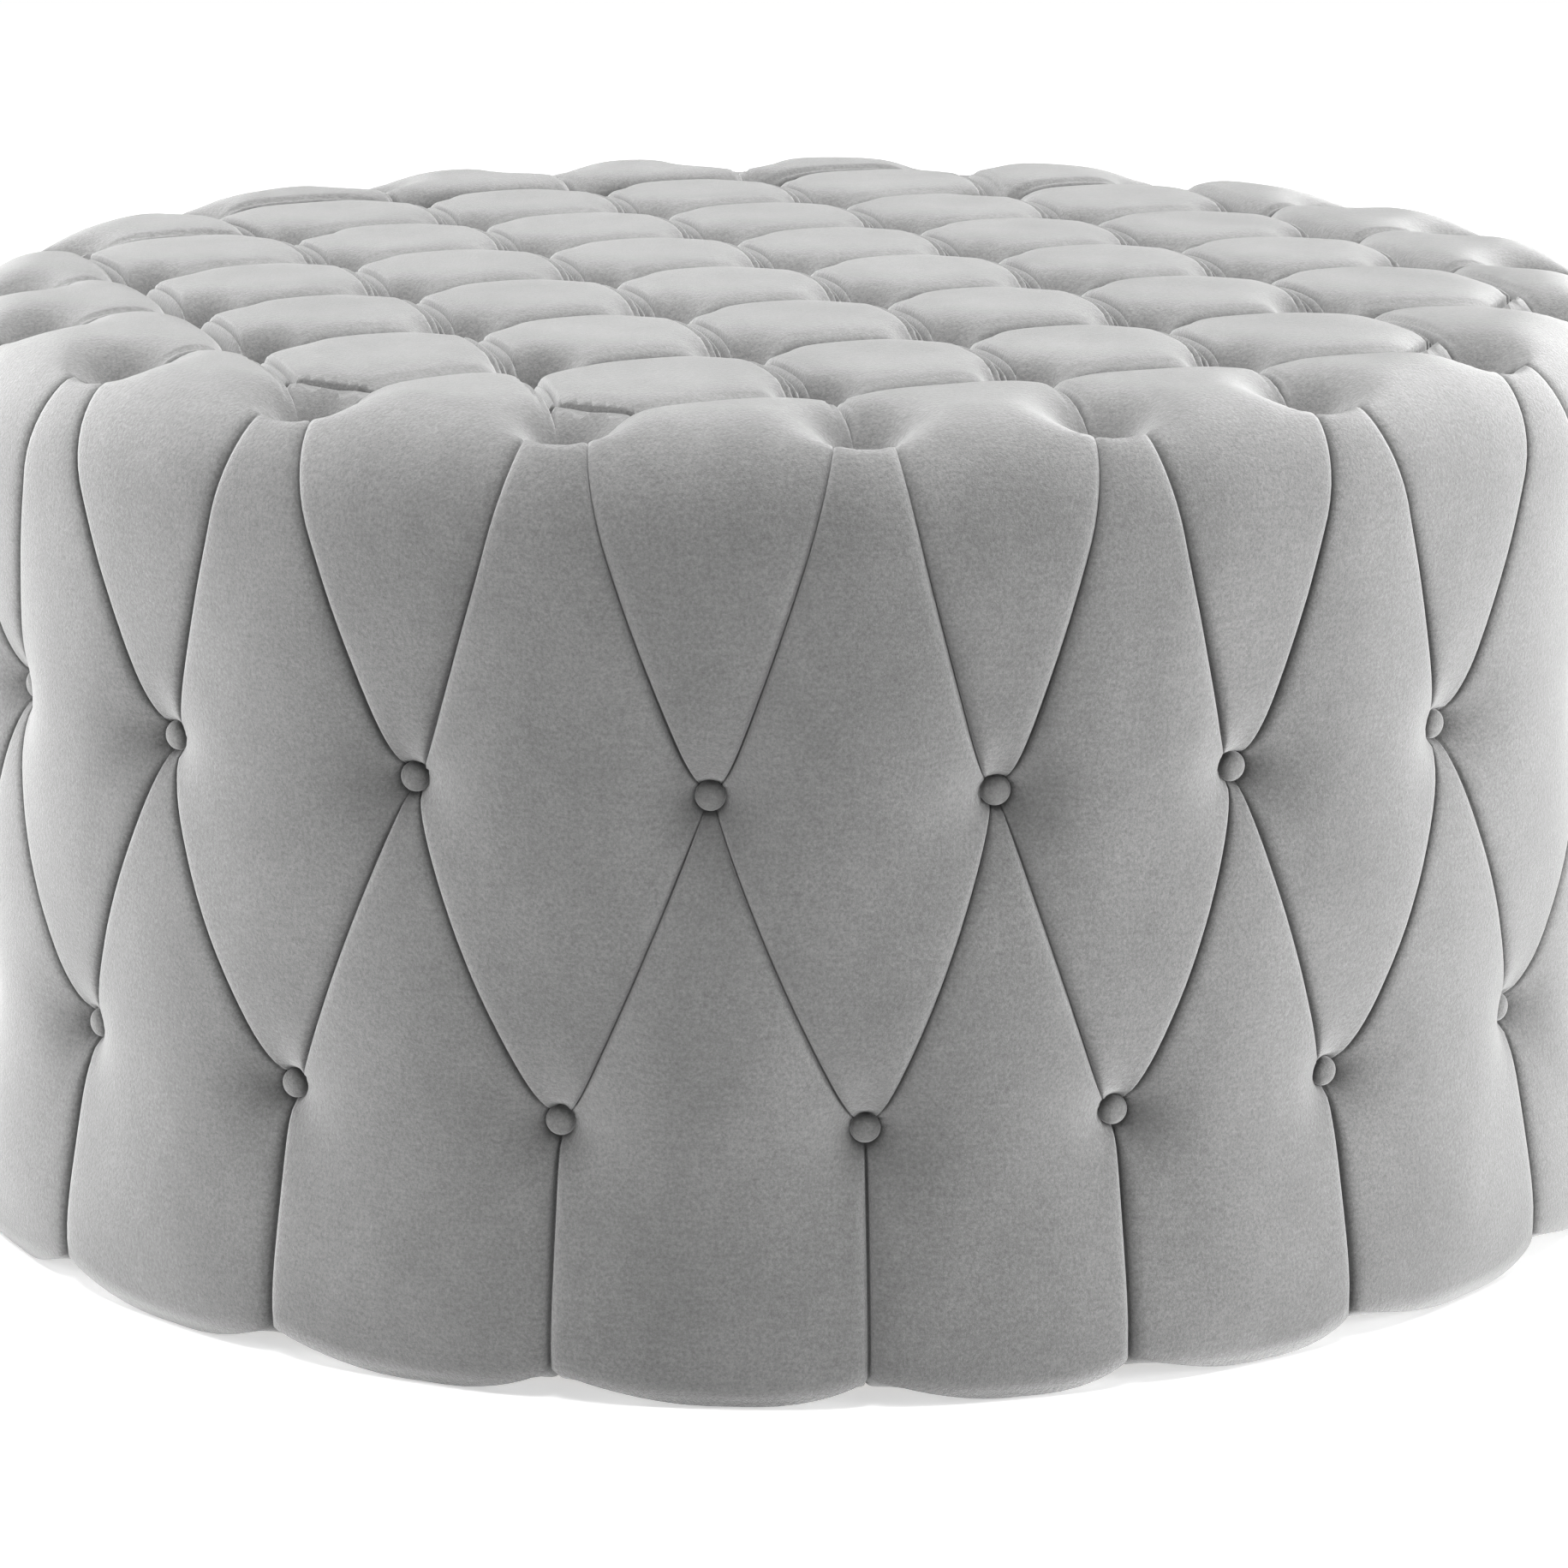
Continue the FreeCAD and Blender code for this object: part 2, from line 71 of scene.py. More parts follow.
# ---- form of the untufted cover, its crest surface ----
OVERALL_R = CAD_BOX[1][0]
HEIGHT = CAD_BOX[1][2]
CREST_R = OVERALL_R - 1 * MM
CREST_TOP = HEIGHT - 1 * MM
SHOULDER_R = 58 * MM
RIM_FALL = 6 * MM  # the top is slightly crowned
CROWN_POWER = 2.5
TURN_START = 370 * MM  # up to here, measured out from the middle, the cover is pulled straight down
TURN_END = 540 * MM  # and from here on straight inwards
HEM_Z = 1 * MM
HEM_ROUND_H = 26 * MM
HEM_ROUND_W = 5 * MM
HEM_FLARE = 6 * MM  # how far the tufts swell below row 2
ARC_POINTS = 60  # points of the profile on each arc, and on each run between them
RUN_POINTS = 80

# ---- tufting, as in the frame ----
PITCH = 102.6 * MM
RIM_ANGLES = (0.0, 16.2, 35.5, 54.5, 73.8)
QUARTERS = 4
COLUMNS = QUARTERS * len(RIM_ANGLES)
BUTTON_R = 7 * MM
SIDE_SEAT_R = 407 * MM
EDGE_BUTTON_INSET = 5 * MM  # the lid's outermost buttons sit this far inside the lattice

# ---- the lid, on the lattice of the top ----
LID_REACH = 3  # lattice cells from the middle to the lid's long sides
CORNER_CELL = (5, 5)  # half pitches from both axes to the middle of a cell that the lid leaves out
CUT_CELL = [3, 5]  # the same of a cell that the lid's short sides cross
LID_CORNER_SHARE = 0.65  # how far from a lattice corner towards a rim button a short side begins
LID_OUTSET = 3 * MM  # how far the lid reaches past the middle of the pleats at its edge
LID_CLEARANCE = 4 * MM
CORNER_RIM_BUTTONS = (2, 3)  # the rim buttons of a quarter that the lid's outline is drawn through
SAME_POINT = 1 * MM  # a lattice point this near to a corner of the outline is that corner
MOVED_CORNER = 0.4 * PITCH  # one that has moved to a rim button lies this near to it


def middle_z(node):
    low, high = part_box(node)
    return (low[2] + high[2]) / 2


ROW_1_Z = middle_z("row_1_buttons")
ROW_2_Z = middle_z("row_2_buttons")
RIM_SEAT_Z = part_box("rim_buttons")[0][2]
RIM_SEAT_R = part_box("rim_buttons")[1][1] - BUTTON_R
TOP_SEAT_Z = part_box("lid_buttons")[0][2]
RING_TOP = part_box("top_ring")[1][2]
LID_BOARD_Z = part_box("lid_board")[0][2]

# ---- depth of the pleats below the crest surface ----
TOP_DEPTH = 25 * MM  # midway between two buttons, on the pleats of the top along X
NARROW_DEPTH = 14 * MM  # the same along Y and out to the rim, where full tufts press together
TOP_BUTTON_DEPTH = 46 * MM
TOP_SAG = 3  # the power by which a pleat of the top deepens towards its buttons
NOTCH_DEPTH = 3.5 * MM  # where the side pleats cross the shoulder
NOTCH_RISE = 0.55  # the power by which they climb there from a rim button
SIDE_DEPTH = 6 * MM
SIDE_BUTTON_DEPTH = 24 * MM
SIDE_SAG = 2.5
HEM_DEPTH = 8 * MM

# ---- course of the pleats ----
NOTCH_TURN = math.radians(33)  # how far round the shoulder the side pleats are shallowest
NOTCH_ASIDE = 0.21  # how far they have parted there, as a share of the way
PLEAT_BOW = 1.25  # the power by which they part below the shoulder
TIP_SPREAD = 5.5 * MM  # the side pleats aim this far beside a button's centre
TIP_LENGTH = 7 * MM  # and turn in to it over this length
FULL_EDGE = 2.5 * MM  # how far the tall tufts' lower edges bow outwards
HEM_RISE = 15 * MM  # how far the hem is drawn up at each pleat
HEM_ARCH = 1.8  # the power that shapes the hem's arch between two pleats: higher is squarer
HEM_SKEW = 0.8  # the power that moves the lowest point of the arch aside
HEM_START = 3  # the power that keeps the arch near the hem

# ---- shape of the tufts ----
ROUNDNESS = 0.5  # the power that rounds a tuft: lower is squarer
SIDE_WALL = (0.5, 1.3 * MM)  # the share of a tuft's height that rises steeply beside a pleat, and its width
TOP_WALL = (0.45, 2.0 * MM)  # the same of the lattice's tufts
LOWEST_TUFT = 3 * MM  # how much lower than the fullest tuft the flattest one is
UNEVEN_STEP = (12.9, 7.3)  # radians from tuft to tuft along X and Y, so that heights show no pattern
ROLL_DEPTH = 2.5 * MM  # how far a cut tuft of the lid rolls down at its cut, and over what width
ROLL_WIDTH = 3 * MM
WEB_DEPTH = 2.5 * MM  # how far its other part, on the body, lies lower

# ---- folds beside the pleats: how far away each runs, and its depth ----
FOLD_WIDTH = 1.0 * MM
FOLD_ENDS = 0.35  # how far away a fold is at its ends, as a share of its middle's distance
RIGHT_FOLDS = ((3.8 * MM, 8.0 * MM), (8.2 * MM, 7.0 * MM))
LEFT_FOLDS = ((4.4 * MM, 6.5 * MM),)
FRONT_FOLDS = ((9 * MM, 1.4 * MM),)
SHOULDER_FOLDS = ((4.4 * MM, 3.0 * MM),)

# ---- pockets round the buttons: a steep wall, then a wide dish, each with its rise and width ----
TOP_POCKET = (8 * MM, 2 * MM, 56 * MM, 17 * MM)
RIM_POCKET = (5 * MM, 2 * MM, 60 * MM, 36 * MM)
SIDE_POCKET = (5 * MM, 2 * MM, 31 * MM, 48 * MM)
POCKETS = {
    "lid_buttons": TOP_POCKET,
    "rim_buttons": RIM_POCKET,
    "row_1_buttons": SIDE_POCKET,
    "row_2_buttons": SIDE_POCKET,
}
POCKET_REACH = 105 * MM  # a button draws in the cover up to this far from its axis
POCKET_HEIGHT = 70 * MM  # and this far along it
POCKET_BLEND = 1.5 * MM  # how softly a pocket meets a tuft, at the button
POCKET_SPREAD = 0.15  # and how much more softly with distance from it
SEAT_DROP = 1 * MM  # how far below its seat the cover ends under a button

# ---- covered buttons: fuller than a half ball, drawn in at the foot ----
BUTTON_RINGS = 12
BUTTON_SIDES = 28
BUTTON_FULLNESS = 0.8
BUTTON_BASE = 1.6 * MM
BUTTON_DOME = 5.2 * MM
BUTTON_FOOT = 0.86  # radius of the foot, as a share of the button's
BUTTON_FOOT_DEPTH = 1.5 * MM

# ---- meshes ----
CLUSTER = 0.82  # how closely the mesh crowds towards the pleats
SIDE_CLUSTER = 0.5  # how closely it crowds towards the buttons of the side
HEM_CLUSTER = 1.4  # the power by which it crowds towards row 2 below it
TOP_STEPS = 24
UPPER_STEPS = 38
LOWER_STEPS = 26
HEM_STEPS = 20
SIDE_STEPS = 24
SHOULDER_STEPS = 34
LID_STEPS = (84, 30)  # along X, across the closest folds, and along Y
WELD = 0.08 * MM  # points closer than this become one

# ---- edges of the covers ----
OPENING_EDGE = 5 * MM  # open edges this far above the top ring go round the opening
SKIRT_GAP = 0.5 * MM  # the opening's sides end this far above the ring, and the lid's above its underside
HEM_EDGE_Z = 30 * MM  # open edges below this are the hem
HEM_TUCKS = ((14 * MM, 5.4 * MM), (18 * MM, 5.6 * MM))  # how far in and how high the hem is turned under
LID_TUCK = (5 * MM, 0.4 * MM)  # the same of the lid's cover, above the board's underside

# ---- lattice corners of the shoulder tufts of a quarter, on the lid's outline ----
INNER_CORNERS = (((0, 3), (1, 3)), ((1, 3), (1, 3)), ((2, 2), (2, 2)), ((3, 1), (3, 1)), ((3, 1), (3, 0)))

# ---- velvet: a noise is its scale, detail, roughness and stretch ----
GREY = (0.2, 0.2, 0.198)
BUTTON_GREY = (0.20, 0.20, 0.197)
VELVET_SHADER = {
    "Roughness": 0.85,
    "Sheen Weight": 0.7,
    "Sheen Roughness": 0.55,
    "Sheen Tint": (0.95, 0.95, 0.95, 1),
    "Specular IOR Level": 0.15,
}
CLOUD = (18, 4, 0.6, (1, 1, 0.7))
STREAK = (90, 3, 0.6, (1, 1, 6))
NAP = (620, 3, 0.65)
PILE = (1800, 2, 0.6)
CLOUD_SHADES = (0.84, 1.12)
STREAK_SHADE = 0.86  # each darkest tone, as a share of the lightest
NAP_SHADE = 0.60
PILE_SHADE = 0.75
PILE_RELIEF = 0.15 * MM
NAP_RELIEF = 0.3 * MM
NOISE_RANGE = (0.3, 0.7)  # nearly all values of a noise lie in here
GRAIN = (5, 0.6)  # detail and roughness of the noise of all other finishes
# painted shade in pleats and folds: ambient occlusion darkens the velvet's base colour
FOLD_SAMPLES = 6
FOLD_REACH = 5.5 * MM  # how far from the bottom of a fold its shade reaches
FOLD_SHADE = 0.25
FOLD_RANGE = (0.35, 0.85)  # how open a point is where the fold's shade is full, and where it ends

# ---- stage ----
FLOOR_REACH = 12.0
FLOOR_GLOW = 0.5  # whitens the floor, as a lit studio floor is
WORLD_FACING = (-0.6, 0.5)  # the world brightens from this cosine to the camera's direction to this
WORLD_STRENGTH = (0.08, 0.7)
LIGHT_TARGET = (0, 0, 0.25)
LIGHTS = {  # size, power in watts, and place in the camera's frame: to its right, away from it, up
    "top": ((2.6, 2.2), 158, (-0.2, -0.1, 2.6)),
    "left": ((0.8, 1.0), 46, (-2.6, 0.0, 0.4)),
    "right": ((0.8, 0.9), 88, (2.5, -0.6, 0.25)),
}
CAMERA_TURN = math.radians(-21.3)
CAMERA_DISTANCE = 2.720
CAMERA_HEIGHT = 0.896
CAMERA_PITCH = math.radians(14.82)
CAMERA_LENS = 124.75
CAMERA_SENSOR = 36


# ---- profile of the crest surface ----


def crest_profile():
    """Distance along the meridian, radius and height of the crest surface, as arrays."""
    flat_r = CREST_R - SHOULDER_R
    shoulder_z = CREST_TOP - RIM_FALL - SHOULDER_R
    low_z = HEM_Z + HEM_ROUND_H
    hem_r = CREST_R + HEM_FLARE - HEM_ROUND_W
    turn = np.linspace(0, math.pi / 2, ARC_POINTS)
    share = np.linspace(0, 1, RUN_POINTS)
    wall_z = np.linspace(shoulder_z, low_z, RUN_POINTS)
    below = np.clip((ROW_2_Z - wall_z) / (ROW_2_Z - low_z), 0, 1)
    flat = np.stack([flat_r * share, CREST_TOP - RIM_FALL * share**CROWN_POWER], 1)
    shoulder = np.stack([flat_r + SHOULDER_R * np.sin(turn), shoulder_z + SHOULDER_R * np.cos(turn)], 1)
    wall = np.stack([CREST_R + HEM_FLARE * np.sin(below * math.pi / 2) ** 2, wall_z], 1)
    hem = np.stack([hem_r + HEM_ROUND_W * np.cos(turn), low_z - HEM_ROUND_H * np.sin(turn)], 1)
    points = np.concatenate([flat, shoulder[1:], wall[1:], hem[1:]])
    along = np.concatenate([[0], np.cumsum(np.linalg.norm(np.diff(points, axis=0), axis=1))])
    return along, points[:, 0], points[:, 1]


ALONG, CREST_RADII, CREST_HEIGHTS = crest_profile()
END_S = ALONG[-1]


def side_s(z):
    """Meridian distance of the point of the wall at this height."""
    on_side = ALONG > CREST_R
    return float(np.interp(-z, -CREST_HEIGHTS[on_side], ALONG[on_side]))


ROW_1_S = side_s(ROW_1_Z)
ROW_2_S = side_s(ROW_2_Z)
RIM_S = RIM_SEAT_R
NOTCH_S = CREST_R - SHOULDER_R + SHOULDER_R * NOTCH_TURN


def on_crest(theta, s):
    """Points of the crest at these angles (from +Y to +X) and meridian distances, and the pull there."""
    radius = np.interp(s, ALONG, CREST_RADII)
    height = np.interp(s, ALONG, CREST_HEIGHTS)
    share = np.clip((s - TURN_START) / (TURN_END - TURN_START), 0, 1)
    lean = math.pi / 2 * share * share * (3 - 2 * share)
    x, y = np.sin(theta), np.cos(theta)
    inward = np.stack([-x * np.sin(lean), -y * np.sin(lean), -np.cos(lean)], -1)
    return np.stack([x * radius, y * radius, height], -1), inward


# ---- where the buttons are ----


def turned(x, y, quarter):
    for _ in range(quarter):
        x, y = y, -x
    return x, y


def rim_angles():
    return [math.radians(90 * quarter + angle) for quarter in range(QUARTERS) for angle in RIM_ANGLES]


RIM_TURNS = rim_angles() + [TAU]
ROW_1_TURNS = [(a + b) / 2 for a, b in zip(RIM_TURNS[:-1], RIM_TURNS[1:])]


def rim_xy(index):
    angle = RIM_TURNS[index % COLUMNS]
    return np.array([RIM_SEAT_R * math.sin(angle), RIM_SEAT_R * math.cos(angle)])


def lid_seats():
    edge = LID_REACH * PITCH - EDGE_BUTTON_INSET
    notch = 2 * PITCH - EDGE_BUTTON_INSET
    quarter = [(0, PITCH), (0, 2 * PITCH), (PITCH, PITCH), (PITCH, 2 * PITCH), (2 * PITCH, PITCH)]
    quarter += [(notch, notch), (0, edge), (PITCH, edge), (-PITCH, edge)]
    points = [(0.0, 0.0)] + [turned(x, y, q) for q in range(QUARTERS) for x, y in quarter]
    return [(np.array([x, y, TOP_SEAT_Z]), UP) for x, y in points]


def rim_seats():
    return [(np.array([*rim_xy(k), RIM_SEAT_Z]), UP) for k in range(COLUMNS)]


def side_seats(turns, z):
    seats = []
    for angle in turns[:COLUMNS]:
        outward = np.array([math.sin(angle), math.cos(angle), 0.0])
        seats.append((outward * SIDE_SEAT_R + np.array([0, 0, z]), outward))
    return seats


# Each button's seat and the direction that it faces.
SEATS = {
    "lid_buttons": lid_seats(),
    "rim_buttons": rim_seats(),
    "row_1_buttons": side_seats(ROW_1_TURNS, ROW_1_Z),
    "row_2_buttons": side_seats(RIM_TURNS, ROW_2_Z),
}


# ---- pleats, as curves of angle and meridian distance, each with its depth ----


def crowded(steps, cluster=CLUSTER):
    """Values from 0 to 1 that crowd towards both ends."""
    t = np.linspace(0, 1, steps + 1)
    return t - cluster * np.sin(TAU * t) / TAU


def line(start, end, shares):
    return np.asarray(start) + np.outer(shares, np.asarray(end) - np.asarray(start))


def sag(middle, end, shares, power=TOP_SAG):
    """Depth of a pleat between two buttons: deepest at both ends."""
    return middle + (end - middle) * np.abs(2 * shares - 1) ** power


def rim_turn(k):
    return RIM_TURNS[k % COLUMNS] + TAU * (k // COLUMNS)


def row_1_turn(k):
    return ROW_1_TURNS[k % COLUMNS] + TAU * (k // COLUMNS)


def polar_near(xy, turn):
    """Angle and distance of points of the unrolled top, with the angle near turn."""
    theta = np.arctan2(xy[..., 0], xy[..., 1])
    theta = turn + (theta - turn + math.pi) % TAU - math.pi
    return np.stack([theta, np.hypot(xy[..., 0], xy[..., 1])], -1)


def unrolled(curve):
    return np.stack([curve[:, 1] * np.sin(curve[:, 0]), curve[:, 1] * np.cos(curve[:, 0])], 1)


def top_pleat(corner, k):
    """From a corner of the lid's outline to rim button k."""
    t = crowded(TOP_STEPS)
    return polar_near(line(corner, rim_xy(k), t), rim_turn(k)), sag(NARROW_DEPTH, TOP_BUTTON_DEPTH, t)


def upper_pleat(k, row_k):
    """From rim button k over the shoulder, where it has parted from its twin, and down to row 1."""
    t = crowded(UPPER_STEPS, SIDE_CLUSTER)
    s = RIM_S + (ROW_1_S - RIM_S) * t
    over = np.clip((s - RIM_S) / (NOTCH_S - RIM_S), 0, 1)
    down = np.clip((s - NOTCH_S) / (ROW_1_S - NOTCH_S), 0, 1)
    aside = NOTCH_ASIDE * np.sin(over * math.pi / 2) + (1 - NOTCH_ASIDE) * down**PLEAT_BOW
    start, end = rim_turn(k), row_1_turn(row_k)
    spread = TIP_SPREAD / CREST_R * (1 - np.exp(-(ROW_1_S - s) / TIP_LENGTH)) * down
    theta = start + (end - start) * aside - math.copysign(1, end - start) * spread
    depth = NOTCH_DEPTH + (SIDE_DEPTH - NOTCH_DEPTH) * np.sin(math.pi / 2 * np.minimum(2 * down, 1))
    depth = depth + (TOP_BUTTON_DEPTH - depth) * (1 - over) ** NOTCH_RISE
    depth = depth + (SIDE_BUTTON_DEPTH - SIDE_DEPTH) * np.maximum(2 * down - 1, 0) ** 2
    return np.stack([theta, s], 1), depth


def lower_pleat(row_k, k):
    """From a button of row 1 down to a button of row 2."""
    t = crowded(LOWER_STEPS, SIDE_CLUSTER)
    start, end = row_1_turn(row_k), rim_turn(k)
    curve = line((start, ROW_1_S), (end, ROW_2_S), t)
    outward = math.copysign(1, start - end)
    curve[:, 0] += outward * FULL_EDGE / CREST_R * np.sin(math.pi * t)
    curve[:, 0] += outward * TIP_SPREAD / CREST_R * (1 - np.exp(-(ROW_2_S - curve[:, 1]) / TIP_LENGTH)) * t
    return curve, sag(SIDE_DEPTH, SIDE_BUTTON_DEPTH, t, SIDE_SAG)


def hem_pleat(k):
    """From a button of row 2 straight down to the hem."""
    t = np.linspace(0, 1, HEM_STEPS + 1) ** HEM_CLUSTER
    curve = line((rim_turn(k), ROW_2_S), (rim_turn(k), END_S - HEM_RISE), t)
    return curve, HEM_DEPTH + (SIDE_BUTTON_DEPTH - HEM_DEPTH) * (1 - t) ** 2


# ---- tufts ----


def joined(pleats):
    """Pleats end to end, as one curve."""
    return np.concatenate([pleats[0][0]] + [curve[1:] for curve, _ in pleats[1:]])


def strip(left, right, shares):
    """A grid of points between two curves."""
    u = shares[:, None, None]
    return left[None] * (1 - u) + right[None] * u


def to_curve(points, curve):
    """Distance from each point to a curve, and the nearest place, counted in points of the curve."""
    start, step = curve[:-1], np.diff(curve, axis=0)
    offset = points[:, None] - start
    share = np.clip((offset * step).sum(-1) / np.maximum((step**2).sum(-1), TINY**2), 0, 1)
    gap = np.linalg.norm(offset - share[..., None] * step, axis=-1)
    best = gap.argmin(1)
    row = np.arange(len(points))
    return np.maximum(gap[row, best], TINY), best + share[row, best]


def tuft(grid, pleats, wall=SIDE_WALL, low=0.0, folds=None, extra=0):
    """Points of one tuft: the crest surface over a grid, pressed in along the pleats round it.

    low is how far its top stays below the crest, and extra is the same point by point. folds gives the
    folds beside a pleat, by its number.
    """
    crest, inward = on_crest(grid[..., 0], grid[..., 1])
    flat = crest.reshape(-1, 3)
    total, weighted, creases = 0, 0, 0
    for number, (curve, depths) in enumerate(pleats):
        gap, place = to_curve(flat, on_crest(curve[:, 0], curve[:, 1])[0])
        total = total + gap**-2
        weighted = weighted + np.interp(place, np.arange(len(depths)), depths) * gap**-2
        for away, depth in (folds or {}).get(number, ()):
            along = np.sin(math.pi * place / (len(depths) - 1))
            bent = away * (FOLD_ENDS + (1 - FOLD_ENDS) * along)
            creases = creases + depth * along * np.exp(-(((gap - bent) / FOLD_WIDTH) ** 2))
    distance = total**-0.5
    dome = (1 - (1 - distance / distance.max()) ** 2) ** ROUNDNESS
    steep, width = wall
    bulge = steep * (1 - np.exp(-distance / width)) + (1 - steep) * dome
    floor = weighted / total
    sunk = floor * (1 - bulge) + (low + np.ravel(extra)) * bulge + creases
    points = flat + inward.reshape(-1, 3) * sunk[:, None]
    return pull_to_buttons(points).reshape(crest.shape)


def pull_to_buttons(points):
    """Draws the cover down onto each button's seat, in a pocket that blends into the tufts."""
    for node, seats in SEATS.items():
        wall, wall_width, dish, dish_width = POCKETS[node]
        for seat, out in seats:
            offset = points - seat
            height = offset @ out
            reach = np.linalg.norm(offset - height[:, None] * out, axis=1)
            beyond = np.maximum(reach - BUTTON_R * BUTTON_FOOT, 0)
            limit = wall * (1 - np.exp(-beyond / wall_width)) + dish * (1 - np.exp(-beyond / dish_width))
            limit = limit - SEAT_DROP
            near = (reach < POCKET_REACH) & (np.abs(height) < POCKET_HEIGHT)
            blend = POCKET_BLEND + POCKET_SPREAD * beyond
            over = height + blend * np.logaddexp(-height / blend, -limit / blend)
            fade = (1 - (reach / POCKET_REACH) ** 2) ** 2
            points = points - np.where(near, over * fade, 0)[:, None] * out
    return points


def diamond(k):
    """The tall tuft from rim button k between two buttons of row 1 down to row 2."""
    sides = [[upper_pleat(k, row_k), lower_pleat(row_k, k)] for row_k in (k - 1, k)]
    grid = strip(joined(sides[0]), joined(sides[1]), crowded(SIDE_STEPS))
    return tuft(grid, sides[0] + sides[1])


def lower_tuft(k):
    """The tuft from button k of row 1 between two buttons of row 2 down to the hem."""
    sides = [[lower_pleat(k, rim_k), hem_pleat(rim_k)] for rim_k in (k, k + 1)]
    u = crowded(SIDE_STEPS)
    grid = strip(joined(sides[0]), joined(sides[1]), u)
    down = np.clip((grid[0, :, 1] - ROW_2_S) / (END_S - HEM_RISE - ROW_2_S), 0, 1)
    arch = 1 - np.abs(2 * u**HEM_SKEW - 1) ** HEM_ARCH
    grid[..., 1] += HEM_RISE * np.outer(arch, down**HEM_START)
    return tuft(grid, sides[0] + sides[1])


def shoulder_tuft(k):
    """The tuft that runs from the lid's edge over the shoulder to a point at button k of row 1."""
    corners = inner_corners(k)
    sides = [[top_pleat(corner, rim_k), upper_pleat(rim_k, k)] for corner, rim_k in zip(corners, (k, k + 1))]
    pleats = sides[0] + sides[1]
    if corners[0] is not corners[1]:
        t = crowded(TOP_STEPS)
        pleats.append((polar_near(line(*corners, t), row_1_turn(k)), sag(TOP_DEPTH, TOP_BUTTON_DEPTH, t)))
    left, right = [unrolled(joined(side)) for side in sides]
    grid = polar_near(strip(left, right, crowded(SHOULDER_STEPS)), row_1_turn(k))
    return tuft(grid, pleats, folds={0: SHOULDER_FOLDS, 2: SHOULDER_FOLDS})


def inner_corners(k):
    """The two corners of shoulder tuft k on the lid's outline, or the same one twice where it is pointed."""
    quarter, place = divmod(k, len(RIM_ANGLES))
    first, second = INNER_CORNERS[place]
    a = lattice_point(*turned(*first, quarter), BODY_CORNERS)
    b = lattice_point(*turned(*second, quarter), BODY_CORNERS)
    return (a, a) if first == second else (a, b)


# ---- outline of the lid ----


def outline_corners():
    """Corners of the lid's outline, carried out to the rim buttons, going round from +Y to +X."""
    corners = []
    for quarter in range(QUARTERS):
        before, after = [rim_xy(quarter * len(RIM_ANGLES) + place) for place in CORNER_RIM_BUTTONS]
        corners.append(("flat", np.array(turned(PITCH, LID_REACH * PITCH, quarter))))
        corners.append(("rim", before))
        corners.append(("notch", np.array(turned(2 * PITCH, 2 * PITCH, quarter))))
        corners.append(("rim", after))
        corners.append(("flat", np.array(turned(LID_REACH * PITCH, PITCH, quarter))))
    return corners


def grown(corners, outset):
    """The corners moved out so that each side lies outset further out."""
    points = [p for _, p in corners]
    moved = []
    for i, point in enumerate(points):
        before = point - points[i - 1]
        after = points[(i + 1) % len(points)] - point
        normals = [np.array([-d[1], d[0]]) / np.linalg.norm(d) for d in (before, after)]
        mean = normals[0] + normals[1]
        moved.append(point + outset * mean / (1 + normals[0] @ normals[1]))
    return moved


CORNERS = outline_corners()
LID_CORNERS = grown(CORNERS, LID_OUTSET)
BODY_CORNERS = grown(CORNERS, LID_OUTSET + LID_CLEARANCE)


def lattice_point(i, j, corners):
    """A lattice point of the top, or where the parting or a rim button has moved it to."""
    x, y = i * PITCH, j * PITCH
    for (_, old), new in zip(CORNERS, corners):
        if abs(old[0] - x) < SAME_POINT and abs(old[1] - y) < SAME_POINT:
            return new
    if sorted((abs(i), abs(j))) == [LID_REACH - 1, LID_REACH]:
        near = [n for (_, o), n in zip(CORNERS, corners) if np.hypot(o[0] - x, o[1] - y) < MOVED_CORNER]
        return near[0]
    if i == 0 and abs(j) == LID_REACH:
        return np.array([0.0, math.copysign(abs(corners[0][1]), j)])
    if j == 0 and abs(i) == LID_REACH:
        return np.array([math.copysign(abs(corners[0][1]), i), 0.0])
    return np.array([x, y])


def top_cell(i, j, corners, steps, plane=None, inside=True):
    """The tuft whose lowest lattice corner is (i, j). With a plane, its edge there is rolled or lowered."""
    across, up = crowded(steps[0]), crowded(steps[1])
    a, b = lattice_point(i, j, corners), lattice_point(i + 1, j, corners)
    c, d = lattice_point(i, j + 1, corners), lattice_point(i + 1, j + 1, corners)
    xy = strip(line(a, b, across), line(c, d, across), up)
    turn = math.atan2(*xy.mean((0, 1)))
    t = crowded(TOP_STEPS)
    wide = sag(TOP_DEPTH, TOP_BUTTON_DEPTH, t)
    narrow = sag(NARROW_DEPTH, TOP_BUTTON_DEPTH, t)
    sides = ((a, b, wide), (c, d, wide), (a, c, narrow), (b, d, narrow))
    pleats = [(polar_near(line(start, end, t), turn), depth) for start, end, depth in sides]
    extra = cut_depth(xy, plane, inside) if plane else 0
    low = LOWEST_TUFT * uneven(i, j)
    folds = {0: FRONT_FOLDS, 2: LEFT_FOLDS, 3: RIGHT_FOLDS}
    return tuft(polar_near(xy, turn), pleats, TOP_WALL, low, folds, extra)


def uneven(i, j):
    """A share from 0 to 1 that differs from tuft to tuft."""
    return 0.5 + 0.5 * math.sin(UNEVEN_STEP[0] * i + UNEVEN_STEP[1] * j)


def half_pitches(i, j):
    """How far the middle of a cell lies from both axes, in half pitches."""
    return abs(2 * i + 1), abs(2 * j + 1)


def lid_cells():
    """The lattice cells of the lid, by their lowest corner."""
    cells = [(i, j) for i in range(-LID_REACH, LID_REACH) for j in range(-LID_REACH, LID_REACH)]
    return [cell for cell in cells if half_pitches(*cell) != CORNER_CELL]


